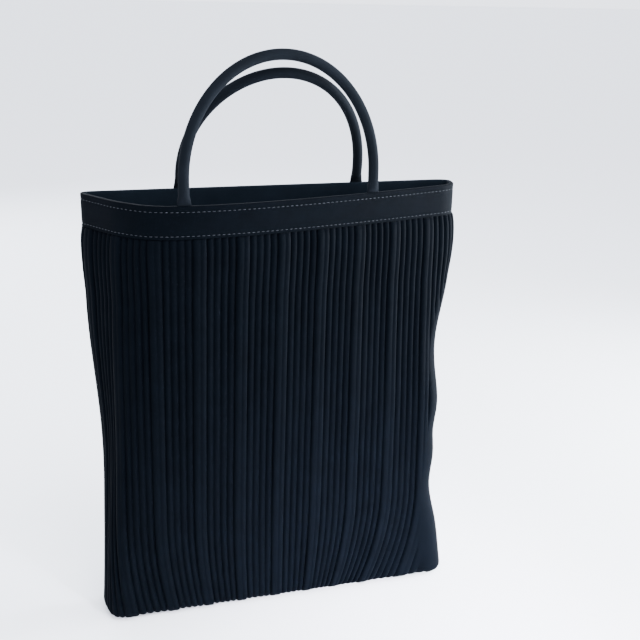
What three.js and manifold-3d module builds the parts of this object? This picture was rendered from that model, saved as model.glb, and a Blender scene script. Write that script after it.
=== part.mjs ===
// Formal handbag: a slim upright bag of pleated cloth, with a plain sewn band round its mouth
// and two round cloth handles whose flattened ends are sewn into the band.
// Millimetres, +Z up, origin at the middle of the flat base, front at -Y.
import * as THREE from "three";
import { mergeVertices } from "three/addons/utils/BufferGeometryUtils.js";
import Module from "manifold-3d";

const wasm = await Module();
wasm.setup();

// Bag form
const BAG_HEIGHT = 350; // base to the top edge of the band, at the back
const HALF_WIDTH = 150; // half the width of the mouth
const BASE_DEPTH = 42; // front to back at the base
const CORNER_REACH = 16; // how far a rounded corner starts from its sharp point
const CORNER_LIMIT = 0.4; // and at most this share of the way to the next corner
const BASE_RADIUS = 0.19 * BASE_DEPTH; // where the sides turn under to the flat base
const BASE_MARGIN = 2; // from the pleats' grooves to the plain middle of the base
const SIDE_RINGS = 7; // sections between the base's rounding and the swelling below the band

// Pleated cloth
const CLOTH_WALL = 3; // from the ridges of the pleats to the inner face
const PLEAT_DEPTH = 1.8; // ridge to groove
const NARROW_PLEAT = 5.4; // groove to groove
const WIDE_PLEAT = 10.5; // the flat pleat that ends each group
const PLEAT_START = 4; // from the middle of the back to the first groove
const PUFF = 2.5; // how far the pleats swell out below the band
const PUFF_LENGTH = 50; // height over which that swelling dies away
const PUFF_RINGS = [0.7, 0.25, 0.05]; // sections there, as shares of PUFF_LENGTH below the band
const GATHER_LEFT = 10; // how far the left half's pleats run in towards the middle at the base
const GATHER_RIGHT = 20; // how far the right half's do
const GATHER_HEIGHT = 90; // height over which they do

// Where a wide pleat's corners are across it, and how far they rise from groove 0 to ridge 1.
const WIDE_SHAPE = [
  { across: 0, rise: 0 },
  { across: 0.15, rise: 0.9 },
  { across: 0.55, rise: 0.6 },
  { across: 0.85, rise: 0.9 },
];
const NARROW_RISE = [0.8, 0.8, 1, 1]; // how far each narrow pleat of a group rises

// Band, its facing inside the mouth, and the pleated cloth's edge that is sewn between them
const BAND_HEIGHT = 24.5;
const FACING_HEIGHT = 34;
const BAND_LAYER = 1;
const FOLD_THICKNESS = 1.2; // at the folded top edge
const SLIT_HEIGHT = 4.8; // of the cutter that opens the fold for a handle's end
const TUCK_HEIGHT = 12;
const TUCK_LAYER = 1;
const SEWN_GAP = 0.3; // between pieces that touch
const COARSE_STEP = 3; // pleat columns to one column of a smooth surface
const OUTLINE_STEPS = 600; // places at which an outline is measured

// Handles
const HANDLE_DIAMETER = 8;
const FOOT_WIDTH = 10.5; // flattened end that goes into the band
const FOOT_THICKNESS = 1;
const FOOT_DEPTH = 11; // how far the flattened end goes below the rim
const FOOT_FLARE_HEIGHT = 7.5; // height over which the end turns from flat to round
const HANDLE_SIDES = 10;

// The end of a handle as it turns from flat to round: rise is a share of FOOT_FLARE_HEIGHT above
// the rim, width of FOOT_WIDTH and thickness of HANDLE_DIAMETER.
const FOOT_SHAPE = [
  { rise: 1 / 3, width: 0.92, thickness: 0.5 },
  { rise: 2 / 3, width: 0.8, thickness: 0.85 },
];
const ARCH_STEPS = 20;

// outward is -1 for the front handle and 1 for the back one. left and right are the feet's
// distances from the middle, shares of HALF_WIDTH. leg is how far the ends stand straight up, apex
// the arch's height above the rim and lean how far its top leans back, shares of BAG_HEIGHT.
const HANDLES = [
  { name: "handle_front", outward: -1, left: 0.521, right: 0.465, leg: 0.047, apex: 0.291, lean: 0.009 },
  { name: "handle_back", outward: 1, left: 0.472, right: 0.47, leg: 0.0275, apex: 0.2525, lean: -0.119 },
];

// One row for each section of the bag. height is a share of the height below the flared mouth,
// left, right and fold are shares of HALF_WIDTH, and front, swell and rightFront of BASE_DEPTH.
// left and right: the back corners' distances from the middle.
// fold: how far the front left fold is set in from the left corner.
// front and rightFront: how far forward the two front folds stand from the middle of the base.
// swell: how far the front is drawn forward of its left fold.
const SECTIONS = [
  { height: 0, left: 0.986, right: 1.041, fold: 0.02, front: 0.5, swell: 0, rightFront: 0.5 },
  { height: 0.38, left: 0.982, right: 0.993, fold: 0.07, front: 0.605, swell: 0.16, rightFront: 0.43 },
  { height: 0.75, left: 1.014, right: 1.021, fold: 0.155, front: 0.71, swell: 0.475, rightFront: 0.27 },
  { height: 1, left: 1.007, right: 1.014, fold: 0.205, front: 0.733, swell: 0.72, rightFront: 0.1 },
];
const SWELL_PLACE = 0.47; // where the front swells most, left of the middle, share of HALF_WIDTH
const RIGHT_FOLD = 0.03; // how far the front right fold is set in, share of HALF_WIDTH
const MOUTH_FLARE = 0.27; // how much more the front swells at the top edge, share of its swell

// Dents that draw the sides in. height and reach are shares of BAG_HEIGHT, depth of HALF_WIDTH.
const DENTS = [
  { side: "right", height: 0.616, depth: 0.077, reach: 0.141 },
  { side: "right", height: 0.394, depth: 0.034, reach: 0.057 },
  { side: "right", height: 0.252, depth: 0.051, reach: 0.09 },
  { side: "left", height: 0.461, depth: 0.032, reach: 0.209 },
];

// The cloth keeps its distances from the middles of the front and the back. It closes up or
// spreads at the sides, between these shares of the way round from the middle of the front.
const SIDE_START = 0.2;
const SIDE_END = 0.3;

const BACK = BASE_DEPTH / 2;
const BAND_BOTTOM = BAG_HEIGHT - BAND_HEIGHT;
const FLARE_START = BAG_HEIGHT - Math.max(BAND_HEIGHT, FACING_HEIGHT); // foot of the flared mouth
const CAVITY = TUCK_LAYER + 2 * SEWN_GAP;
const BAND_THICKNESS = 2 * BAND_LAYER + CAVITY;

const CLOTH = new THREE.MeshStandardMaterial({ color: 0x0c0d12, roughness: 0.85, metalness: 0 });
const BAND_CLOTH = new THREE.MeshStandardMaterial({ color: 0x101116, roughness: 0.8, metalness: 0 });
const HANDLE_CLOTH = new THREE.MeshStandardMaterial({ color: 0x14151b, roughness: 0.75, metalness: 0 });

const COLUMN_NAMES = Object.keys(SECTIONS[0]);
const SECTION_CURVES = new THREE.CubicInterpolant(
  SECTIONS.map((row) => row.height),
  SECTIONS.flatMap((row) => COLUMN_NAMES.map((name) => row[name])),
  COLUMN_NAMES.length,
);

// The table's row at a height, on smooth curves through the rows, with the dents taken off.
function sectionRow(height) {
  const values = SECTION_CURVES.evaluate(height / FLARE_START);
  const row = Object.fromEntries(COLUMN_NAMES.map((name, index) => [name, values[index]]));
  for (const dent of DENTS) {
    const away = (height / BAG_HEIGHT - dent.height) / dent.reach;
    row[dent.side] -= dent.depth * Math.exp(-(away ** 2));
  }
  return row;
}

// The bag's outline seen from above at a height, from the middle of the back round by the left.
function outline(height) {
  const row = sectionRow(height);
  const start = new THREE.Vector2(0, BACK);
  const backLeft = new THREE.Vector2(-row.left * HALF_WIDTH, BACK);
  const frontLeft = new THREE.Vector2(-(row.left - row.fold) * HALF_WIDTH, -row.front * BASE_DEPTH);
  const swell = new THREE.Vector2(-SWELL_PLACE * HALF_WIDTH, -(row.front + row.swell) * BASE_DEPTH);
  const frontRight = new THREE.Vector2((row.right - RIGHT_FOLD) * HALF_WIDTH, -row.rightFront * BASE_DEPTH);
  const backRight = new THREE.Vector2(row.right * HALF_WIDTH, BACK);
  const path = new THREE.Path().moveTo(start.x, start.y);

  function towards(from, to) {
    const reach = Math.min(CORNER_REACH, CORNER_LIMIT * from.distanceTo(to));
    return to.clone().sub(from).setLength(reach).add(from);
  }
  function roundCorner(before, corner, after) {
    const [enter, leave] = [towards(corner, before), towards(corner, after)];
    path.lineTo(enter.x, enter.y);
    path.quadraticCurveTo(corner.x, corner.y, leave.x, leave.y);
  }
  roundCorner(start, backLeft, frontLeft);
  roundCorner(backLeft, frontLeft, swell);
  const leaveFront = towards(frontRight, swell);
  path.quadraticCurveTo(swell.x, swell.y, leaveFront.x, leaveFront.y);
  roundCorner(swell, frontRight, backRight);
  roundCorner(frontRight, backRight, start);
  path.lineTo(start.x, start.y);
  return path;
}

// How far a place on the flared mouth is drawn forward: it grows evenly from FLARE_START up, and
// with how far the place already stands forward of a straight line between the two front folds.
function flareAt(place, height) {
  const rise = Math.max(0, height - FLARE_START) / (BAG_HEIGHT - FLARE_START);
  const { left, right, fold, front, rightFront } = SECTIONS.at(-1);
  const leftFold = (fold - left) * HALF_WIDTH;
  const rightFold = (right - RIGHT_FOLD) * HALF_WIDTH;
  const across = THREE.MathUtils.clamp((place.x - leftFold) / (rightFold - leftFold), 0, 1);
  const unswollen = -THREE.MathUtils.lerp(front, rightFront, across) * BASE_DEPTH;
  return MOUTH_FLARE * rise * Math.max(0, unswollen - place.y);
}

const outlines = new Map();

// The outline at a height, its length, and how far along it the middle of the front is.
function measuredOutline(height) {
  const level = Math.min(height, FLARE_START);
  if (!outlines.has(level)) {
    const path = outline(level);
    const length = path.getLength();
    const places = path.getSpacedPoints(OUTLINE_STEPS);
    const after = places.findIndex((place) => place.x > 0 && place.y < 0);
    const past = places[after].x / (places[after].x - places[after - 1].x);
    outlines.set(level, { path, length, middle: ((after - past) / OUTLINE_STEPS) * length });
  }
  return outlines.get(level);
}

// How far along an outline a share of the cloth lies, counted at the mouth from the back's middle.
function clothPlace(share, { length, middle }) {
  const mouth = measuredOutline(FLARE_START);
  const fromFront = middle + share * mouth.length - mouth.middle;
  const fromBack = share < 0.5 ? share * mouth.length : length - (1 - share) * mouth.length;
  const backness = THREE.MathUtils.smoothstep(Math.abs(share - 0.5), SIDE_START, SIDE_END);
  return THREE.MathUtils.lerp(fromFront, fromBack, backness);
}

// The point at a share of the way round the bag, moved out by an offset from the bag's form.
function onBag(share, height, offset) {
  const measured = measuredOutline(height);
  const nearBase = THREE.MathUtils.clamp(1 - height / GATHER_HEIGHT, 0, 1);
  const aside = THREE.MathUtils.euclideanModulo(4 * share + 1, 2) - 1; // -1 to 1 across each face
  const reach = aside < 0 ? -GATHER_LEFT : GATHER_RIGHT;
  const drawn = reach * nearBase ** 2 * Math.sin(Math.PI * Math.abs(aside) ** 1.5);
  const along = (clothPlace(share, measured) - drawn) / measured.length;
  const place = measured.path.getPoint(along);
  const tangent = measured.path.getTangent(along);
  const normal = new THREE.Vector2(tangent.y, -tangent.x);
  place.y -= flareAt(place, height);
  place.addScaledVector(normal, offset);
  return new THREE.Vector3(place.x, place.y, height);
}

// Each column of the pleats: its share of the way round, and its rise from groove 0 to ridge 1.
function pleatColumns() {
  const wideStart = NARROW_RISE.length * NARROW_PLEAT;
  const group = wideStart + WIDE_PLEAT;
  const narrow = NARROW_RISE.flatMap((rise, i) => [
    { at: i * NARROW_PLEAT, rise: 0 },
    { at: (i + 0.5) * NARROW_PLEAT, rise },
  ]);
  const wide = WIDE_SHAPE.map(({ across, rise }) => ({ at: wideStart + across * WIDE_PLEAT, rise }));
  const steps = [...narrow, ...wide];

  const groups = Math.round(measuredOutline(FLARE_START).length / group);
  const columns = [];
  for (let g = 0; g < groups; g++)
    for (const step of steps)
      columns.push({ share: (g + (step.at + PLEAT_START) / group) / groups, rise: step.rise });
  return columns.map((column) => ({ ...column, share: column.share % 1 }));
}

const COLUMNS = pleatColumns();
const COARSE_COLUMNS = COLUMNS.filter((column, index) => index % COARSE_STEP === 0);

function smoothRing(height, offset) {
  return COARSE_COLUMNS.map((column) => onBag(column.share, height, offset));
}

function pleatedRing(height, offset) {
  return COLUMNS.map((c) => onBag(c.share, height, offset - PLEAT_DEPTH * (1 - c.rise)));
}

// The middle of a ring, as a ring of one point that closes a skin.
function middleOf(ring) {
  const middle = new THREE.Vector3();
  for (const point of ring) middle.add(point);
  return [middle.divideScalar(ring.length)];
}

// A closed skin over rings in order. One ring may hold a whole multiple of the next one's points.
// A loop joins the last ring to the first; otherwise the first and last rings are single points.
function skin(rings, loop = false) {
  const positions = rings.flat().flatMap((p) => [p.x, p.y, p.z]);
  const starts = [];
  let count = 0;
  for (const ring of rings) {
    starts.push(count);
    count += ring.length;
  }
  const faces = [];
  const pairs = loop ? rings.length : rings.length - 1;
  for (let r = 0; r < pairs; r++) {
    const s = (r + 1) % rings.length;
    const [low, high] = [rings[r].length, rings[s].length];
    const steps = Math.min(low, high);
    const [fromLow, fromHigh] = [low / steps, high / steps];
    const lower = (i) => starts[r] + (i % low);
    const upper = (i) => starts[s] + (i % high);
    for (let i = 0; i < steps; i++) {
      if (low > 1)
        for (let k = 0; k < fromLow; k++)
          faces.push(lower(i * fromLow + k), lower(i * fromLow + k + 1), upper(i * fromHigh));
      if (high > 1)
        for (let k = 0; k < fromHigh; k++)
          faces.push(lower((i + 1) * fromLow), upper(i * fromHigh + k + 1), upper(i * fromHigh + k));
    }
  }
  const geometry = new THREE.BufferGeometry();
  geometry.setAttribute("position", new THREE.Float32BufferAttribute(positions, 3));
  geometry.setIndex(faces);
  geometry.computeVertexNormals();
  return geometry;
}

function solid(geometry) {
  const bare = geometry.clone().deleteAttribute("normal").deleteAttribute("uv");
  const merged = mergeVertices(bare);
  return new wasm.Manifold(
    new wasm.Mesh({
      numProp: 3,
      vertProperties: merged.attributes.position.array,
      triVerts: new Uint32Array(merged.index.array),
    }),
  );
}

function geometryOf(manifold) {
  const mesh = manifold.getMesh();
  const geometry = new THREE.BufferGeometry();
  geometry.setAttribute("position", new THREE.BufferAttribute(mesh.vertProperties, 3));
  geometry.setIndex(new THREE.BufferAttribute(mesh.triVerts, 1));
  geometry.computeVertexNormals();
  return geometry;
}

// How far the pleats stand out from the bag's form at a height.
function puff(height) {
  const below = THREE.MathUtils.clamp((BAND_BOTTOM - height) / PUFF_LENGTH, 0, 1);
  return PUFF * Math.sin(Math.PI * Math.sqrt(below));
}

// Pleated body: outside from the base up, over the edge inside the band, and down the inside.
function pleatedBody() {
  const turns = [0, Math.PI / 4, Math.PI / 2];
  const innerRounding = BASE_RADIUS - CLOTH_WALL;
  const puffHeights = PUFF_RINGS.map((share) => BAND_BOTTOM - share * PUFF_LENGTH);
  const sideHeights = [];
  for (let i = 1; i <= SIDE_RINGS; i++)
    sideHeights.push(THREE.MathUtils.lerp(BASE_RADIUS, puffHeights[0], i / (SIDE_RINGS + 1)));
  const heights = [...sideHeights, ...puffHeights];
  const tuckTop = BAND_BOTTOM + TUCK_HEIGHT;
  const tuckFoot = BAND_BOTTOM - SEWN_GAP;
  const tuckOffset = -BAND_LAYER - SEWN_GAP;

  const underside = smoothRing(0, -BASE_RADIUS - PLEAT_DEPTH - BASE_MARGIN);
  const outside = turns.map((turn) =>
    pleatedRing(BASE_RADIUS * (1 - Math.cos(turn)), -BASE_RADIUS * (1 - Math.sin(turn))),
  );
  outside.push(...heights.map((h) => pleatedRing(h, puff(h))));
  const edge = [
    smoothRing(tuckFoot, tuckOffset),
    smoothRing(tuckTop, tuckOffset),
    smoothRing(tuckTop, tuckOffset - TUCK_LAYER),
    smoothRing(heights.at(-1), tuckOffset - TUCK_LAYER),
  ];
  const inside = heights.slice(0, -1).map((h) => smoothRing(h, puff(h) - CLOTH_WALL));
  const floor = turns.map((turn) =>
    smoothRing(
      BASE_RADIUS - innerRounding * Math.cos(turn),
      innerRounding * Math.sin(turn) - BASE_RADIUS,
    ),
  );
  const skirt = [...outside, ...edge, ...inside.reverse(), ...floor.reverse()];
  return skin([middleOf(underside), underside, ...skirt, middleOf(skirt.at(-1))]);
}

// The share of the way round where the rim passes a distance from the middle, front or back.
function footShare(x, outward) {
  const trials = 4000;
  let best = { share: 0, miss: Infinity };
  for (let i = 0; i < trials; i++) {
    const place = onBag(i / trials, BAG_HEIGHT, 0);
    const miss = Math.abs(place.x - x);
    const onSide = outward > 0 ? place.y > BACK - 1 : place.y < BACK - 1;
    if (onSide && miss < best.miss) best = { share: i / trials, miss };
  }
  return best.share;
}

// Where one end of a handle goes into the band: its share round the rim and the way out there.
function foot(side, { outward, left, right }) {
  const share = footShare((side < 0 ? -left : right) * HALF_WIDTH, outward);
  const middle = -BAND_THICKNESS / 2;
  const at = onBag(share, BAG_HEIGHT, middle);
  const out = onBag(share, BAG_HEIGHT, 0).sub(at).setZ(0).normalize();
  const end = onBag(share, BAG_HEIGHT - FOOT_DEPTH, middle);
  return { at, out, end };
}

// Band: one strip of cloth folded over at the rim, seen as an upturned U in section, with a slit
// through the fold for each end of a handle.
function topBand() {
  const crest = BAG_HEIGHT;
  const bevel = FOLD_THICKNESS / 2;
  const ceiling = crest - FOLD_THICKNESS;
  const facing = crest - FACING_HEIGHT;
  const strip = skin(
    [
      smoothRing(BAND_BOTTOM, 0),
      smoothRing(crest - bevel, 0),
      smoothRing(crest, -bevel),
      smoothRing(crest, bevel - BAND_THICKNESS),
      smoothRing(crest - bevel, -BAND_THICKNESS),
      smoothRing(facing, -BAND_THICKNESS),
      smoothRing(facing, BAND_LAYER - BAND_THICKNESS),
      smoothRing(ceiling, BAND_LAYER - BAND_THICKNESS),
      smoothRing(ceiling, -BAND_LAYER),
      smoothRing(BAND_BOTTOM, -BAND_LAYER),
    ],
    true,
  );
  let band = solid(strip);
  for (const handle of HANDLES)
    for (const side of [-1, 1]) {
      const { at, out } = foot(side, handle);
      const slit = new THREE.BoxGeometry(
        FOOT_WIDTH + 2 * SEWN_GAP,
        FOOT_THICKNESS + 2 * SEWN_GAP,
        SLIT_HEIGHT,
      );
      slit.rotateZ(Math.atan2(out.x, -out.y)).translate(at.x, at.y, at.z);
      band = band.subtract(solid(slit));
    }
  return geometryOf(band);
}

// Handle: a cloth tube that rises from the rim, arches over and comes down again.
function handleTube(handle) {
  const feet = [foot(-1, handle), foot(1, handle)];
  const apexHeight = handle.apex * BAG_HEIGHT;
  const legHeight = handle.leg * BAG_HEIGHT;
  const stations = [];

  // A place on the handle, by its share of the way across and its height above the rim.
  function centre(across, rise) {
    const place = feet[0].at.clone().lerp(feet[1].at, across);
    place.y += handle.lean * BAG_HEIGHT * (Math.max(rise, 0) / apexHeight) ** 1.5;
    place.z += rise;
    return place;
  }
  function station(place, across, width, thickness) {
    stations.push({ place, out: feet[0].out.clone().lerp(feet[1].out, across), width, thickness });
  }
  function legStations(across) {
    const leg = [
      [feet[across].end, FOOT_WIDTH, FOOT_THICKNESS],
      [centre(across, SEWN_GAP), FOOT_WIDTH, FOOT_THICKNESS],
    ];
    for (const { rise, width, thickness } of FOOT_SHAPE) {
      const place = centre(across, rise * FOOT_FLARE_HEIGHT);
      leg.push([place, width * FOOT_WIDTH, thickness * HANDLE_DIAMETER]);
    }
    leg.push([centre(across, FOOT_FLARE_HEIGHT), HANDLE_DIAMETER, HANDLE_DIAMETER]);
    return leg;
  }
  for (const [place, width, thickness] of legStations(0)) station(place, 0, width, thickness);
  for (let i = 0; i <= ARCH_STEPS; i++) {
    const turn = (Math.PI * i) / ARCH_STEPS;
    const across = 0.5 - Math.cos(turn) / 2;
    const rise = legHeight + (apexHeight - legHeight) * Math.sin(turn);
    station(centre(across, rise), across, HANDLE_DIAMETER, HANDLE_DIAMETER);
  }
  for (const [place, width, thickness] of legStations(1).reverse()) station(place, 1, width, thickness);

  const rings = stations.map(({ place, out, width, thickness }, index) => {
    const before = stations[Math.max(index - 1, 0)].place;
    const after = stations[Math.min(index + 1, stations.length - 1)].place;
    const along = after.clone().sub(before).normalize();
    const wide = out.clone().cross(along).normalize();
    const thick = along.clone().cross(wide);
    const ring = [];
    for (let k = 0; k < HANDLE_SIDES; k++) {
      const turn = (2 * Math.PI * k) / HANDLE_SIDES;
      ring.push(
        place
          .clone()
          .addScaledVector(wide, (width / 2) * Math.cos(turn))
          .addScaledVector(thick, (thickness / 2) * Math.sin(turn)),
      );
    }
    return ring;
  });
  return skin([middleOf(rings[0]), ...rings, middleOf(rings.at(-1))]);
}

function named(name, geometry, material) {
  const mesh = new THREE.Mesh(geometry, material);
  mesh.name = name;
  return mesh;
}

const handbag = new THREE.Group();
handbag.add(named("pleated_body", pleatedBody(), CLOTH));
handbag.add(named("top_band", topBand(), BAND_CLOTH));
for (const handle of HANDLES) handbag.add(named(handle.name, handleTube(handle), HANDLE_CLOTH));

export default handbag;
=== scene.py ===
import math
from functools import cache

import bmesh
import bpy
import numpy as np
from mathutils import Matrix, Vector


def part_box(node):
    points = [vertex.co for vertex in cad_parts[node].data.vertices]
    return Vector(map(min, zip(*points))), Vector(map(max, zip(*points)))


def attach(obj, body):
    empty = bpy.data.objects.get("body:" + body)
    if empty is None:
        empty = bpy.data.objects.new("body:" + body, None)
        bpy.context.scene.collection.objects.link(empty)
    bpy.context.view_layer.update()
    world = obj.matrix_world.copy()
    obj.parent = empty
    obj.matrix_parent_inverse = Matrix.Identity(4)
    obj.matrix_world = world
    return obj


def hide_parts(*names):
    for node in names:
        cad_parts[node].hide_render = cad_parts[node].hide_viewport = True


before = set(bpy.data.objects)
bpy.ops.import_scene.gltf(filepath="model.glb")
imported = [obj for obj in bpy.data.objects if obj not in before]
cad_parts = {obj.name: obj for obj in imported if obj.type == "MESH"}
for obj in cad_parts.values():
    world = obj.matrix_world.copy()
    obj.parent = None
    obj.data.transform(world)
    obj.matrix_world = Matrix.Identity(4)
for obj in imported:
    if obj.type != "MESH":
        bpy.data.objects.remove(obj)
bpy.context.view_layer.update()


# Pleated body
# The bag itself is a tube of black polyester whose vertical pleats are set by heat: groups of
# four narrow pleats with a wide flat one between. The pleats turn under to a flat base, and the
# cloth's upper edge is sewn in between the two layers of the band. A smooth backing lines it.
BAG_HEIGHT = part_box("top_band")[1].z
HALF_WIDTH = 0.150
BASE_DEPTH = 0.042
CORNER_REACH = 0.016  # how far a rounded corner starts from its sharp point
CORNER_LIMIT = 0.4  # and at most this share of the way to the next corner
CORNER_STEPS = 30
FRONT_STEPS = 160
BASE_RADIUS = 0.19 * BASE_DEPTH  # where the sides turn under to the flat base
BASE_TURNS = (0, 0.3, 0.6, 0.8, 1.0)  # rows on that rounding, as shares of a quarter turn
BAND_HEIGHT = 0.0245
FACING_HEIGHT = 0.034
BAND_BOTTOM = BAG_HEIGHT - BAND_HEIGHT
FLARE_START = BAG_HEIGHT - FACING_HEIGHT
BACK = BASE_DEPTH / 2

# The bag's section at four shares of the height below the flared mouth. left, right and fold
# are shares of HALF_WIDTH, and front, swell and right_front are shares of BASE_DEPTH.
SECTIONS = {
    "height": (0.0, 0.38, 0.75, 1.0),
    "left": (0.986, 0.982, 1.014, 1.007),
    "right": (1.041, 0.993, 1.021, 1.014),
    "fold": (0.02, 0.07, 0.155, 0.205),
    "front": (0.5, 0.605, 0.71, 0.733),
    "swell": (0.0, 0.16, 0.475, 0.72),
    "right_front": (0.5, 0.43, 0.27, 0.1),
}
SECTION_CURVES = {
    name: np.polyfit(SECTIONS["height"], values, deg=3) for name, values in SECTIONS.items()
}
SWELL_PLACE = 0.47  # where the front swells most, left of the middle
RIGHT_FOLD = 0.03  # how far the front right fold is set in
MOUTH_FLARE = 0.27  # how much more the front swells at the top edge, share of its swell

# Where the sides are drawn in: height and reach are shares of BAG_HEIGHT, depth of HALF_WIDTH.
DENTS = (
    {"side": "right", "height": 0.616, "depth": 0.077, "reach": 0.141},
    {"side": "right", "height": 0.394, "depth": 0.034, "reach": 0.057},
    {"side": "right", "height": 0.252, "depth": 0.051, "reach": 0.09},
    {"side": "left", "height": 0.461, "depth": 0.032, "reach": 0.209},
)

# The cloth gives way at the sides, between these shares of the way round from the front's middle.
SIDE_START = 0.2
SIDE_END = 0.3

# How far the pleats of each half run in towards the middle at the base, and over what height.
GATHER_LEFT = 0.010
GATHER_RIGHT = 0.020
GATHER_HEIGHT = 0.090
GATHER_CURVE = 1.5

NARROW_PLEAT = 0.0054
WIDE_PLEAT = 0.0105
NARROW_COLUMNS = (0.0, 0.06, 0.13, 0.22, 0.45, 0.7, 0.82, 0.89, 0.95)
WIDE_COLUMNS = (0.0, 0.03, 0.07, 0.13, 0.25, 0.4, 0.49, 0.54, 0.6, 0.75, 0.87, 0.93, 0.97)
PLEAT_START = 0.004  # from the middle of the back to the first groove
PLEAT_DEPTH = 0.0027
NARROW_RISE = (0.8, 0.8, 0.92, 0.92)  # how far each narrow pleat of a group rises
NARROW_SLANT = 0.2  # how much lower it starts than it ends
NARROW_GROOVE = 0.0012
WIDE_GROOVE = 0.0008
GROOVE_CURVE = 1.5
CREASE_DEPTH = 0.0005  # the faint crease along a wide pleat
CREASE_WIDTH = 0.0006
CREASE_PLACE = 0.54

# Waves that make the pleats uneven: radians once round the bag, and radians in a metre up.
WAVES = ((61, 23), (143, -37))
WAVE_DEPTH = 0.1  # share of the pleats' depth

# A strip before the front right fold is drawn smooth. height is a share of BAG_HEIGHT.
SMOOTH_STRIP = {
    "height": (0.0, 0.06, 0.2, 0.3, 0.7, 0.85),
    "width": (0.020, 0.030, 0.020, 0.016, 0.012, 0.0),
}
STRIP_EDGE = 0.003  # over which the pleats rise out of it
BEHIND_FOLD = 0.010  # how far behind the fold they start again
BEHIND_EDGE = 0.006

CLOTH_WALL = 0.003
PUFF = 0.0025  # how far the pleats swell out below the band
PUFF_LENGTH = 0.050  # height over which that swelling dies away
TUCK_HEIGHT = 0.012  # of the edge that is sewn in between the band's layers
TUCK_FOOT = 0.0025  # how far below the band its inner face starts
TUCK_LAYER = 0.001
LINING_TOP = 0.0125  # how far below the band the smooth backing starts
BAND_LAYER = 0.001
SEWN_GAP = 0.0003
LAST_ROW = 0.0012  # how far below the band the pleats' last row is
ROW_STEP = 0.006
INNER_STEP = 0.024


def curve_between(start, pull, end, steps):
    """Points on a curve from start to end, drawn towards pull."""
    t = np.linspace(0, 1, steps)[:, None]
    return (1 - t) ** 2 * start + 2 * t * (1 - t) * pull + t**2 * end


def short_of(corner, towards):
    away = towards - corner
    length = np.linalg.norm(away)
    return corner + away * min(CORNER_REACH, CORNER_LIMIT * length) / length


def rounded_corner(before, corner, after):
    return curve_between(short_of(corner, before), corner, short_of(corner, after), CORNER_STEPS)


@cache
def outline(height):
    """The bag seen from above: points from the middle of the back round by the left, how far
    along each is, and how far along the middle of the front is."""
    share = height / FLARE_START
    row = {name: np.polyval(curve, share) for name, curve in SECTION_CURVES.items()}
    for dent in DENTS:
        away = (height / BAG_HEIGHT - dent["height"]) / dent["reach"]
        row[dent["side"]] -= dent["depth"] * math.exp(-(away**2))
    start = np.array([0.0, BACK])
    back_left = np.array([-row["left"] * HALF_WIDTH, BACK])
    front_left = np.array(
        [-(row["left"] - row["fold"]) * HALF_WIDTH, -row["front"] * BASE_DEPTH]
    )
    swell = np.array(
        [-SWELL_PLACE * HALF_WIDTH, -(row["front"] + row["swell"]) * BASE_DEPTH]
    )
    front_right = np.array(
        [(row["right"] - RIGHT_FOLD) * HALF_WIDTH, -row["right_front"] * BASE_DEPTH]
    )
    back_right = np.array([row["right"] * HALF_WIDTH, BACK])
    leave_fold = short_of(front_left, swell)
    reach_right = short_of(front_right, swell)
    line = np.concatenate(
        [
            [start],
            rounded_corner(start, back_left, front_left),
            rounded_corner(back_left, front_left, swell),
            curve_between(leave_fold, swell, reach_right, FRONT_STEPS)[1:-1],
            rounded_corner(swell, front_right, back_right),
            rounded_corner(front_right, back_right, start),
            [start],
        ]
    )
    steps = np.linalg.norm(np.diff(line, axis=0), axis=1)
    along = np.concatenate([[0], np.cumsum(steps)])
    front = line[:, 1] < 0
    return line, along, np.interp(0, line[front, 0], along[front])


def mouth_length():
    return outline(FLARE_START)[1][-1]


def flare_at(x, y, height):
    """How far places on the mouth are drawn forward, growing evenly up to the top edge."""
    rise = max(0.0, height - FLARE_START) / (BAG_HEIGHT - FLARE_START)
    top = {name: values[-1] for name, values in SECTIONS.items()}
    left_fold = (top["fold"] - top["left"]) * HALF_WIDTH
    right_fold = (top["right"] - RIGHT_FOLD) * HALF_WIDTH
    across = np.clip((x - left_fold) / (right_fold - left_fold), 0, 1)
    unswollen = -BASE_DEPTH * (top["front"] + (top["right_front"] - top["front"]) * across)
    return MOUTH_FLARE * rise * np.maximum(0, unswollen - y)


def eased(share):
    return share**2 * (3 - 2 * share)


def on_bag(shares, height, offset=0.0):
    """Places round the bag at a height, moved out by an offset from its form. The cloth keeps
    its distances from the middles of the front and the back, and gives way at the sides."""
    line, along, middle = outline(min(height, FLARE_START))
    mouth_middle = outline(FLARE_START)[2]
    from_front = middle + shares * mouth_length() - mouth_middle
    from_back = shares * mouth_length() + (shares > 0.5) * (along[-1] - mouth_length())
    aside_share = (np.abs(shares - 0.5) - SIDE_START) / (SIDE_END - SIDE_START)
    backness = eased(np.clip(aside_share, 0, 1))
    aside = np.mod(4 * shares + 1, 2) - 1
    reach = np.where(aside < 0, -GATHER_LEFT, GATHER_RIGHT)
    near_base = max(0.0, 1 - height / GATHER_HEIGHT)
    drawn_in = reach * near_base**2 * np.sin(math.pi * np.abs(aside) ** GATHER_CURVE)
    places = from_front + (from_back - from_front) * backness - drawn_in
    places = np.mod(places, along[-1])
    slopes = np.gradient(line, along, axis=0)
    x, y = (np.interp(places, along, line[:, i]) for i in (0, 1))
    run_x, run_y = (np.interp(places, along, slopes[:, i]) for i in (0, 1))
    run = np.hypot(run_x, run_y)
    y = y - flare_at(x, y, height)
    x = x + offset * run_y / run
    y = y - offset * run_x / run
    return np.stack([x, y, np.full(len(x), height)], axis=1)


def groove(distance, width):
    """How deep a groove is at a distance from its middle, from 1 down to 0."""
    return np.exp(-((distance / width) ** GROOVE_CURVE))


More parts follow.
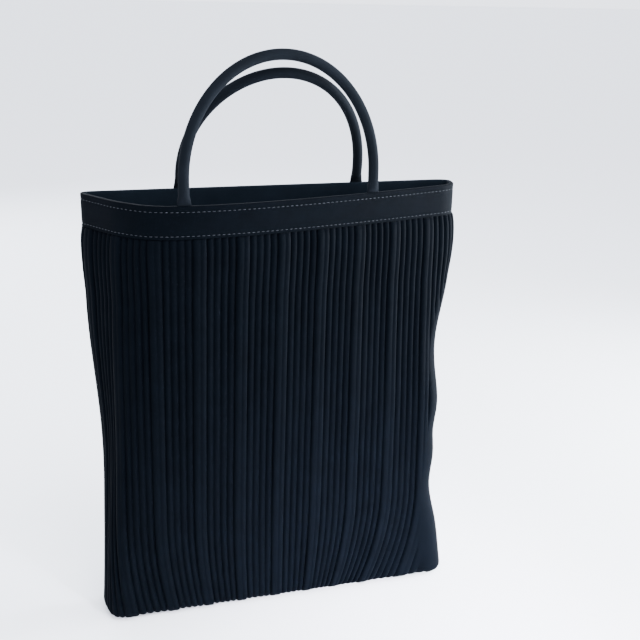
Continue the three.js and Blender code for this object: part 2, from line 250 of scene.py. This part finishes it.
def pleat_group():
    """The columns of one group of pleats: how far along it they are, and their depth."""
    across = np.array(NARROW_COLUMNS)
    left = 1 - groove(across * NARROW_PLEAT, NARROW_GROOVE)
    right = 1 - groove((1 - across) * NARROW_PLEAT, NARROW_GROOVE)
    ridge = left * right * (1 - NARROW_SLANT + NARROW_SLANT * across)
    places, depths = [], []
    for pleat, rise in enumerate(NARROW_RISE):
        places.append((pleat + across) * NARROW_PLEAT)
        depths.append(PLEAT_DEPTH * (1 - ridge * rise))
    across = np.array(WIDE_COLUMNS)
    edge = np.minimum(across, 1 - across) * WIDE_PLEAT
    crease = np.exp(-(((across - CREASE_PLACE) * WIDE_PLEAT / CREASE_WIDTH) ** 2))
    places.append(len(NARROW_RISE) * NARROW_PLEAT + across * WIDE_PLEAT)
    depths.append(PLEAT_DEPTH * groove(edge, WIDE_GROOVE) + CREASE_DEPTH * crease)
    return np.concatenate(places), np.concatenate(depths)


def pleat_columns():
    """Each column of the pleats: its share of the way round, and its depth below the ridges."""
    length = len(NARROW_RISE) * NARROW_PLEAT + WIDE_PLEAT
    groups = round(mouth_length() / length)
    places, group_depths = pleat_group()
    shares = [(number + (places + PLEAT_START) / length) / groups for number in range(groups)]
    shares, depths = np.concatenate(shares) % 1.0, np.tile(group_depths, groups)
    order = np.argsort(shares)
    return shares[order], depths[order]


def puff(height):
    below = min(max((BAND_BOTTOM - height) / PUFF_LENGTH, 0), 1)
    return PUFF * math.sin(math.pi * math.sqrt(below))


def stand_rings(mesh, rings, close=False):
    """Stands rings of places on each other, each extruded from the last. close joins the last
    one to the first. Returns the edges of both."""
    count = len(rings[0])
    column = mesh.verts.layers.int.new("column")
    level = mesh.verts.layers.int.new("level")
    made = bmesh.ops.create_circle(mesh, segments=count, radius=1)
    for number, vert in enumerate(made["verts"]):
        vert[column] = number
        vert.co = rings[0][number]
    edges = list(mesh.edges)
    first = edges
    for height, places in enumerate(rings[1:], start=1):
        grown = bmesh.ops.extrude_edge_only(mesh, edges=edges)["geom"]
        for vert in (item for item in grown if isinstance(item, bmesh.types.BMVert)):
            vert.co = places[vert[column]]
            vert[level] = height
        edges = [
            item
            for item in grown
            if isinstance(item, bmesh.types.BMEdge)
            and item.verts[0][level] == item.verts[1][level] == height
        ]
    if close:
        bmesh.ops.bridge_loops(mesh, edges=first + edges)
    return first, edges


def pleated_rings():
    shares, depths = pleat_columns()
    outside = []
    for turn in BASE_TURNS:
        angle = turn * math.pi / 2
        outside.append((BASE_RADIUS * (1 - math.cos(angle)), -BASE_RADIUS * (1 - math.sin(angle))))
    rows = int((BAND_BOTTOM - BASE_RADIUS) / ROW_STEP)
    for height in np.linspace(BASE_RADIUS, BAND_BOTTOM - LAST_ROW, rows)[1:]:
        outside.append((height, puff(height)))
    rings = []
    for height, offset in outside:
        unevenness = sum(np.sin(shares * turn + height * rise) for turn, rise in WAVES)
        x, y = on_bag(shares, height)[:, :2].T
        smooth = np.interp(height / BAG_HEIGHT, SMOOTH_STRIP["height"], SMOOTH_STRIP["width"])
        before_fold = (x.max() - smooth - x) / STRIP_EDGE + 1
        fold = np.interp(height / FLARE_START, SECTIONS["height"], SECTIONS["right_front"])
        behind_fold = (y + fold * BASE_DEPTH - BEHIND_FOLD) / BEHIND_EDGE
        pleated = np.clip(np.maximum(before_fold, behind_fold), 0, 1)
        depth = depths * pleated * (1 + WAVE_DEPTH * unevenness)
        rings.append(on_bag(shares, height, offset - depth))
    tuck = -BAND_LAYER - SEWN_GAP
    inside = [
        (BAND_BOTTOM, tuck),
        (BAND_BOTTOM + TUCK_HEIGHT, tuck),
        (BAND_BOTTOM + TUCK_HEIGHT, tuck - TUCK_LAYER),
        (BAND_BOTTOM - TUCK_FOOT, tuck - TUCK_LAYER),
    ]
    for height in np.arange(BAND_BOTTOM - LINING_TOP, BASE_RADIUS, -INNER_STEP):
        inside.append((height, puff(height) - CLOTH_WALL))
    floor = BASE_RADIUS - CLOTH_WALL
    for angle in (math.pi / 2, math.pi / 4, 0):
        inside.append(
            (BASE_RADIUS - floor * math.cos(angle), floor * math.sin(angle) - BASE_RADIUS)
        )
    rings += [on_bag(shares, height, offset) for height, offset in inside]
    return rings, shares


def unwrap(mesh, shares, rings):
    """Lays the cloth out flat, in metres: how far round it is, and how far up the rings."""
    column = mesh.verts.layers.int["column"]
    level = mesh.verts.layers.int["level"]
    layer = mesh.loops.layers.uv.new("flat_cloth")
    middles = [ring[len(ring) // 2] for ring in rings]
    steps = [np.linalg.norm(b - a) for a, b in zip(middles, middles[1:])]
    climbed = np.concatenate([[0], np.cumsum(steps)])
    for face in mesh.faces:
        columns = [loop.vert[column] for loop in face.loops]
        crosses = max(columns) - min(columns) > len(shares) / 2
        for loop in face.loops:
            number = loop.vert[column]
            turn = 1 if crosses and number < len(shares) / 2 else 0
            loop[layer].uv = ((shares[number] + turn) * mouth_length(), climbed[loop.vert[level]])


def new_piece(name, mesh, material, node):
    """A finished piece: its own mesh and material, riding on the bag in place of a node."""
    data = bpy.data.meshes.new(name)
    for face in mesh.faces:
        face.smooth = True
    mesh.to_mesh(data)
    mesh.free()
    piece = bpy.data.objects.new(name, data)
    bpy.context.scene.collection.objects.link(piece)
    data.materials.append(material)
    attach(piece, "root")
    if node:
        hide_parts(node)
    return piece


def set_inputs(node, values):
    for name, value in values.items():
        node.inputs[name].default_value = value


def new_material(name, shader_values):
    """A material whose shader has these values, and its nodes, its links and that shader."""
    material = bpy.data.materials.new(name)
    material.use_nodes = True
    nodes, links = material.node_tree.nodes, material.node_tree.links
    shader = nodes["Principled BSDF"]
    set_inputs(shader, shader_values)
    return material, nodes, links, shader


def uneven_tone(nodes, links, shader, grain, dark, light):
    """Colours a material by a noise, from dark to light. Both are (place on the ramp, colour)."""
    unevenness = nodes.new("ShaderNodeTexNoise")
    set_inputs(unevenness, grain)
    place = nodes.new("ShaderNodeTexCoord")
    tone = nodes.new("ShaderNodeValToRGB")
    for element, (position, colour) in zip(tone.color_ramp.elements, (dark, light)):
        element.position = position
        element.color = (*colour, 1)
    links.new(place.outputs["Object"], unevenness.inputs["Vector"])
    links.new(unevenness.outputs["Fac"], tone.inputs["Fac"])
    links.new(tone.outputs["Color"], shader.inputs["Base Color"])


WAVE_PERIOD = 2 * math.pi / 20  # of a wave texture at scale 1
TONE_RANGE = 0.15  # how much darker and lighter than its colour a cloth is in places
CLOTH_SHEEN = {"Sheen Roughness": 0.45, "Sheen Tint": (0.72, 0.80, 1.0, 1.0)}
CLOTH_GRAIN = {"Scale": 60.0, "Detail": 5.0}
BUMP_SHARE = 0.3  # height of the weave, share of a thread's width


def woven_cloth(name, colour, thread, sheen):
    """A plain-woven cloth: threads across and along, slightly uneven in tone, with a soft sheen."""
    shine = {"Roughness": 0.7, "Sheen Weight": sheen, "Specular IOR Level": 0.01, **CLOTH_SHEEN}
    material, nodes, links, shader = new_material(name, shine)
    cloth = nodes.new("ShaderNodeUVMap")
    cloth.uv_map = "flat_cloth"
    threads = []
    for direction in ("X", "Y"):
        wave = nodes.new("ShaderNodeTexWave")
        wave.wave_type = "BANDS"
        wave.bands_direction = direction
        set_inputs(wave, {"Scale": WAVE_PERIOD / thread, "Distortion": 0.6, "Detail": 1.0})
        links.new(cloth.outputs["UV"], wave.inputs["Vector"])
        threads.append(wave)
    weave = nodes.new("ShaderNodeMix")
    weave.data_type = "FLOAT"
    weave.inputs["Factor"].default_value = 0.5
    links.new(threads[0].outputs["Fac"], weave.inputs["A"])
    links.new(threads[1].outputs["Fac"], weave.inputs["B"])
    dark = [(1 - TONE_RANGE) * part for part in colour]
    light = [(1 + TONE_RANGE) * part for part in colour]
    uneven_tone(nodes, links, shader, CLOTH_GRAIN, (0.3, dark), (0.75, light))
    bump = nodes.new("ShaderNodeBump")
    set_inputs(bump, {"Strength": 0.35, "Distance": BUMP_SHARE * thread})
    links.new(weave.outputs["Result"], bump.inputs["Height"])
    links.new(bump.outputs["Normal"], shader.inputs["Normal"])
    return material


pleated_cloth = woven_cloth("pleated_cloth", (0.0008, 0.0014, 0.0024), thread=0.0004, sheen=0.004)

body = bmesh.new()
body_rings, pleat_shares = pleated_rings()
base_edges, floor_edges = stand_rings(body, body_rings)
unwrap(body, pleat_shares, body_rings)
bmesh.ops.holes_fill(body, edges=base_edges + floor_edges, sides=0)
bmesh.ops.recalc_face_normals(body, faces=body.faces)
new_piece("pleated_body_cloth", body, pleated_cloth, "pleated_body")


# Top band
# A strip of plain black cloth is folded over the rim: its outer layer covers the pleats' sewn
# edge and its inner layer, the facing, lines the mouth. Both edges are topstitched.
BAND_COLUMNS = 320
BAND_THICKNESS = 2 * BAND_LAYER + TUCK_LAYER + 2 * SEWN_GAP
FOLD_THICKNESS = 0.0012
FOLD_BEVEL = 0.0008
BEVEL_STEPS = 4
HEM_FLARE = 0.0003  # how far the lower edge stands out, and over what height
HEM_HEIGHT = 0.0005
FACE_FOOT = 0.001  # the rows of the outer face start this far above the lower edge
FACE_TOP = 0.0015  # and end this far below the rim
FACE_ROWS = 22
INNER_TOP = 0.002  # the rows of the inner face start this far below the rim
INNER_ROWS = 8
STITCH_ROWS = (0.0044, 0.0223)  # how far below the rim the rows of stitches are
STITCH_DIP = 0.00035
STITCH_DIP_WIDTH = 0.0009


def band_profile():
    """The band's section from its lower edge up, over the rim and down inside, and back under."""
    profile = [(HEM_FLARE, BAND_BOTTOM), (0.0, BAND_BOTTOM + HEM_HEIGHT)]
    for below in np.linspace(BAND_HEIGHT - FACE_FOOT, FACE_TOP, FACE_ROWS):
        dip = sum(math.exp(-(((below - row) / STITCH_DIP_WIDTH) ** 2)) for row in STITCH_ROWS)
        profile.append((-STITCH_DIP * dip, BAG_HEIGHT - below))
    turns = np.linspace(0, math.pi / 2, BEVEL_STEPS)
    for turn in turns:
        height = BAG_HEIGHT - FOLD_BEVEL * (1 - math.sin(turn))
        profile.append((-FOLD_BEVEL * (1 - math.cos(turn)), height))
    for turn in turns[::-1]:
        height = BAG_HEIGHT - FOLD_BEVEL * (1 - math.sin(turn))
        profile.append((FOLD_BEVEL * (1 - math.cos(turn)) - BAND_THICKNESS, height))
    for below in np.linspace(INNER_TOP, FACING_HEIGHT, INNER_ROWS):
        profile.append((-BAND_THICKNESS, BAG_HEIGHT - below))
    ceiling = BAG_HEIGHT - FOLD_THICKNESS
    profile += [
        (BAND_LAYER - BAND_THICKNESS, BAG_HEIGHT - FACING_HEIGHT),
        (BAND_LAYER - BAND_THICKNESS, ceiling),
        (-BAND_LAYER, ceiling),
        (-BAND_LAYER, BAND_BOTTOM),
    ]
    return profile


band_cloth = woven_cloth("band_cloth", (0.0008, 0.0014, 0.0023), thread=0.0005, sheen=0.005)
# The facing is the band's black cloth folded inside, but it is coloured about three times lighter:
# painted light that brightens the shaded inside of the mouth.
facing_cloth_painted_light = woven_cloth("facing_cloth_painted_light", (0.0032, 0.0050, 0.0075), thread=0.0005, sheen=0.01)

band_shares = np.arange(BAND_COLUMNS) / BAND_COLUMNS
profile = band_profile()
band_rings = [on_bag(band_shares, height, offset) for offset, height in profile]
band = bmesh.new()
stand_rings(band, band_rings, close=True)
unwrap(band, band_shares, band_rings)
bmesh.ops.recalc_face_normals(band, faces=band.faces)

# The faces from the rim's inner bevel down are the facing's, which carry its lighter colour of
# painted light.
band_level = band.verts.layers.int["level"]
inner_edge = FOLD_BEVEL - BAND_THICKNESS
inner_levels = [level for level, (offset, _) in enumerate(profile) if offset <= inner_edge]
for face in band.faces:
    if all(vert[band_level] in inner_levels for vert in face.verts):
        face.material_index = 1
top_band = new_piece("top_band_cloth", band, band_cloth, "top_band")
top_band.data.materials.append(facing_cloth_painted_light)


# Topstitching
# Two rows of pale grey thread run round the band, one below the rim and one above the lower
# edge. Each stitch is a short plump thread lying in a small dip of the cloth.
STITCH_PITCH = 0.0037
STITCH_LENGTH = 0.0023
STITCH_WIDTH = 0.0005
STITCH_SINK = 0.0001  # how far a stitch's middle lies below the cloth's face
AHEAD = 0.01  # share of the pitch over which a stitch's direction is measured
OUTWARD = 0.001  # distance over which the way out of the cloth is measured


def stitch_thread():
    values = {"Roughness": 0.6, "Specular IOR Level": 0.1, "Sheen Weight": 0.05}
    material, nodes, links, shader = new_material("stitch_thread", values)
    dark, light = (0.004, 0.005, 0.007), (0.022, 0.025, 0.033)
    uneven_tone(nodes, links, shader, {"Scale": 900.0}, (0.0, dark), (1.0, light))
    return material


stitches = bmesh.new()
stitch_count = round(mouth_length() / STITCH_PITCH)
stitch_size = Matrix.Diagonal((STITCH_LENGTH / 2, STITCH_WIDTH / 2, STITCH_WIDTH / 2, 1))
for below in STITCH_ROWS:
    height = BAG_HEIGHT - below
    for number in range(stitch_count):
        pair = np.array([number, number + AHEAD]) / stitch_count
        here, ahead = (Vector(place) for place in on_bag(pair, height, -STITCH_SINK))
        outer = Vector(on_bag(pair[:1], height, OUTWARD)[0])
        run = (ahead - here).normalized()
        out = (outer - here).normalized()
        up = run.cross(out)
        turned = Matrix((run, out, up)).transposed().to_4x4()
        bmesh.ops.create_uvsphere(
            stitches,
            u_segments=8,
            v_segments=6,
            radius=1,
            matrix=Matrix.Translation(here) @ turned @ stitch_size,
        )
new_piece("topstitching", stitches, stitch_thread(), None)


# Handles
# Each handle is a soft cord covered with a tube of black cloth. Its two ends are flattened and
# sewn in between the layers of the band, and it stands up in an arch between them.
HANDLE_DIAMETER = 0.008
FOOT_WIDTH = 0.0105
FOOT_THICKNESS = 0.001
FOOT_DEPTH = 0.011  # how far the flattened end goes below the rim
FOOT_FLARE = 0.0075  # height over which the end turns from flat to round
FOOT_CURVE = 0.6  # how soon it grows thick there
FOOT_STEPS = 6
LEAN_CURVE = 1.5  # how late the arch leans
HANDLE_SIDES = 28
ARCH_STEPS = 90
RIM_TRIALS = 8000  # places on the rim that are tried for each foot
BACK_MARGIN = 0.001  # what lies this near the plane of the back counts as the back

# outward is -1 for the front handle and 1 for the back one. left and right are the feet's
# distances from the middle, leg_height is how far the ends stand straight up, apex_height the
# arch's height above the rim, and lean how far its top leans back.
HANDLES = {
    "handle_front": {
        "outward": -1,
        "left": 0.0782,
        "right": 0.0698,
        "leg_height": 0.0165,
        "apex_height": 0.1018,
        "lean": 0.0032,
    },
    "handle_back": {
        "outward": 1,
        "left": 0.0708,
        "right": 0.0705,
        "leg_height": 0.0096,
        "apex_height": 0.0884,
        "lean": -0.0417,
    },
}


def handle_foot(x, outward):
    """Where one end of a handle goes into the band, the way out of the band, and its end."""
    shares = np.linspace(0, 1, RIM_TRIALS, endpoint=False)
    places = on_bag(shares, BAG_HEIGHT)
    behind = places[:, 1] - (BACK - BACK_MARGIN)
    on_side = behind > 0 if outward > 0 else behind < 0
    misses = np.where(on_side, np.abs(places[:, 0] - x), np.inf)
    share = shares[np.argmin(misses)][None]
    middle = -BAND_THICKNESS / 2
    at = Vector(on_bag(share, BAG_HEIGHT, middle)[0])
    out = (Vector(on_bag(share, BAG_HEIGHT)[0]) - at).normalized()
    end = Vector(on_bag(share, BAG_HEIGHT - FOOT_DEPTH, middle)[0])
    return at, out, end


def handle_stations(feet, leg_height, apex_height, lean):
    """Places along a handle, each with its share of the way across, its width and thickness."""

    def centre(across, rise):
        place = feet[0][0].lerp(feet[1][0], across)
        place.y += lean * (max(rise, 0) / apex_height) ** LEAN_CURVE
        place.z += rise
        return place

    def leg(across):
        stations = [(feet[across][2], across, FOOT_WIDTH, FOOT_THICKNESS)]
        for step in range(FOOT_STEPS + 1):
            share = step / FOOT_STEPS
            rounded = eased(share) ** FOOT_CURVE
            width = FOOT_WIDTH + (HANDLE_DIAMETER - FOOT_WIDTH) * share
            thickness = FOOT_THICKNESS + (HANDLE_DIAMETER - FOOT_THICKNESS) * rounded
            stations.append((centre(across, FOOT_FLARE * share), across, width, thickness))
        return stations

    stations = leg(0)
    for step in range(ARCH_STEPS + 1):
        turn = math.pi * step / ARCH_STEPS
        across = 0.5 - math.cos(turn) / 2
        rise = leg_height + (apex_height - leg_height) * math.sin(turn)
        stations.append((centre(across, rise), across, HANDLE_DIAMETER, HANDLE_DIAMETER))
    return stations + leg(1)[::-1]


def handle_rings(outward, left, right, **arch):
    """The rings of a handle's tube, and how far along it each is."""
    feet = [handle_foot(x, outward) for x in (-left, right)]
    stations = handle_stations(feet, **arch)
    turns = [2 * math.pi * side / HANDLE_SIDES for side in range(HANDLE_SIDES)]
    rings, lengths = [], []
    travelled = 0.0
    for number, (place, across, width, thickness) in enumerate(stations):
        before = stations[max(number - 1, 0)][0]
        after = stations[min(number + 1, len(stations) - 1)][0]
        along = (after - before).normalized()
        out = feet[0][1].lerp(feet[1][1], across)
        wide = out.cross(along).normalized()
        thick = along.cross(wide)
        travelled += (place - before).length
        lengths.append(travelled)
        ring = []
        for turn in turns:
            aside = wide * (width / 2 * math.cos(turn))
            ahead = thick * (thickness / 2 * math.sin(turn))
            ring.append(place + aside + ahead)
        rings.append(ring)
    return rings, lengths


def unwrap_handle(mesh, lengths):
    """Lays the tube's cloth out flat, in metres: round the handle, and along it."""
    column = mesh.verts.layers.int["column"]
    level = mesh.verts.layers.int["level"]
    layer = mesh.loops.layers.uv.new("flat_cloth")
    for face in mesh.faces:
        crosses = any(loop.vert[column] == HANDLE_SIDES - 1 for loop in face.loops)
        for loop in face.loops:
            number = loop.vert[column]
            turn = 1 if crosses and number == 0 else 0
            round_it = (number / HANDLE_SIDES + turn) * math.pi * HANDLE_DIAMETER
            loop[layer].uv = (round_it, lengths[loop.vert[level]])


handle_cloth = woven_cloth("handle_cloth", (0.0034, 0.0044, 0.0060), thread=0.00045, sheen=0.01)
for node, shape in HANDLES.items():
    rings, lengths = handle_rings(**shape)
    handle = bmesh.new()
    ends = stand_rings(handle, rings)
    unwrap_handle(handle, lengths)
    bmesh.ops.holes_fill(handle, edges=ends[0] + ends[1], sides=0)
    bmesh.ops.recalc_face_normals(handle, faces=handle.faces)
    new_piece(node + "_cloth", handle, handle_cloth, node)


# Floor, light and camera
# A plain pale floor that runs far back under a pale sky, with six soft lights: most of the light
# comes from the right, as from a window, and a low beam from the right lifts the bag's foot. The
# camera is where the photograph was taken from.
FLOOR_REACH = 200
floor_mesh = bmesh.new()
bmesh.ops.create_grid(floor_mesh, x_segments=2, y_segments=2, size=FLOOR_REACH)
floor_data = bpy.data.meshes.new("floor")
floor_mesh.to_mesh(floor_data)
floor_mesh.free()
floor = bpy.data.objects.new("floor", floor_data)
bpy.context.scene.collection.objects.link(floor)
pale = {"Base Color": (0.86, 0.87, 0.90, 1), "Roughness": 0.9}
pale_floor, *_ = new_material("pale_floor", pale)
floor_data.materials.append(pale_floor)

world = bpy.data.worlds.new("studio")
world.use_nodes = True
set_inputs(world.node_tree.nodes["Background"], {"Color": (0.86, 0.90, 1.0, 1), "Strength": 3.2})
bpy.context.scene.world = world


def soft_light(name, place, size, power, colour, target=(0, 0, 0.2), spread=180):
    """A round lamp of a size in metres and a power in watts, its beam spread over some degrees."""
    data = bpy.data.lights.new(name, "AREA")
    data.shape = "DISK"
    data.size = size
    data.energy = power
    data.color = colour
    data.spread = math.radians(spread)
    light = bpy.data.objects.new(name, data)
    light.location = place
    aim = Vector(target) - Vector(place)
    light.rotation_euler = aim.to_track_quat("-Z", "Y").to_euler()
    bpy.context.scene.collection.objects.link(light)


soft_light("window_light", (1.3, -0.6, 0.35), size=0.6, power=45, colour=(0.95, 0.97, 1.0))
soft_light(
    "side_light", (1.4, 0.02, 0.35), size=0.5, power=37, colour=(0.88, 0.94, 1.0),
    target=(0, 0, 0.25), spread=100,
)
soft_light(
    "low_light", (0.45, -0.85, 0.3), size=0.25, power=2.2, colour=(0.86, 0.84, 1.0),
    target=(0.07, 0, -0.02), spread=26,
)
soft_light("ceiling_light", (0.3, -0.9, 1.5), size=0.8, power=40, colour=(0.9, 0.95, 1.0))
soft_light("back_light", (-0.5, 1.5, 0.9), size=1.0, power=25, colour=(0.9, 0.95, 1.0))
soft_light("fill_light", (-0.9, -1.6, 1.1), size=1.2, power=2, colour=(0.86, 0.92, 1.0))

CAMERA_PLACE = (-0.1768, -0.7155, 0.4877)
CAMERA_AZIMUTH = -16.63
CAMERA_PITCH = 18.21
CAMERA_ROLL = 1.09
FOCAL_PIXELS = 970  # the photograph's focal length and its width, in its pixels
PHOTO_WIDTH = 640
SENSOR_WIDTH = 36
camera_data = bpy.data.cameras.new("camera")
camera_data.sensor_width = SENSOR_WIDTH
camera_data.lens = FOCAL_PIXELS / PHOTO_WIDTH * SENSOR_WIDTH
camera_data.clip_start = 0.01
camera = bpy.data.objects.new("camera", camera_data)
camera.location = CAMERA_PLACE
azimuth, pitch = math.radians(CAMERA_AZIMUTH), math.radians(CAMERA_PITCH)
facing = Vector(
    (-math.sin(azimuth) * math.cos(pitch), math.cos(azimuth) * math.cos(pitch), -math.sin(pitch))
)
level_turn = facing.to_track_quat("-Z", "Y")
rolled = level_turn @ Matrix.Rotation(math.radians(CAMERA_ROLL), 3, "Z").to_quaternion()
camera.rotation_euler = rolled.to_euler()
bpy.context.scene.collection.objects.link(camera)
bpy.context.scene.camera = camera
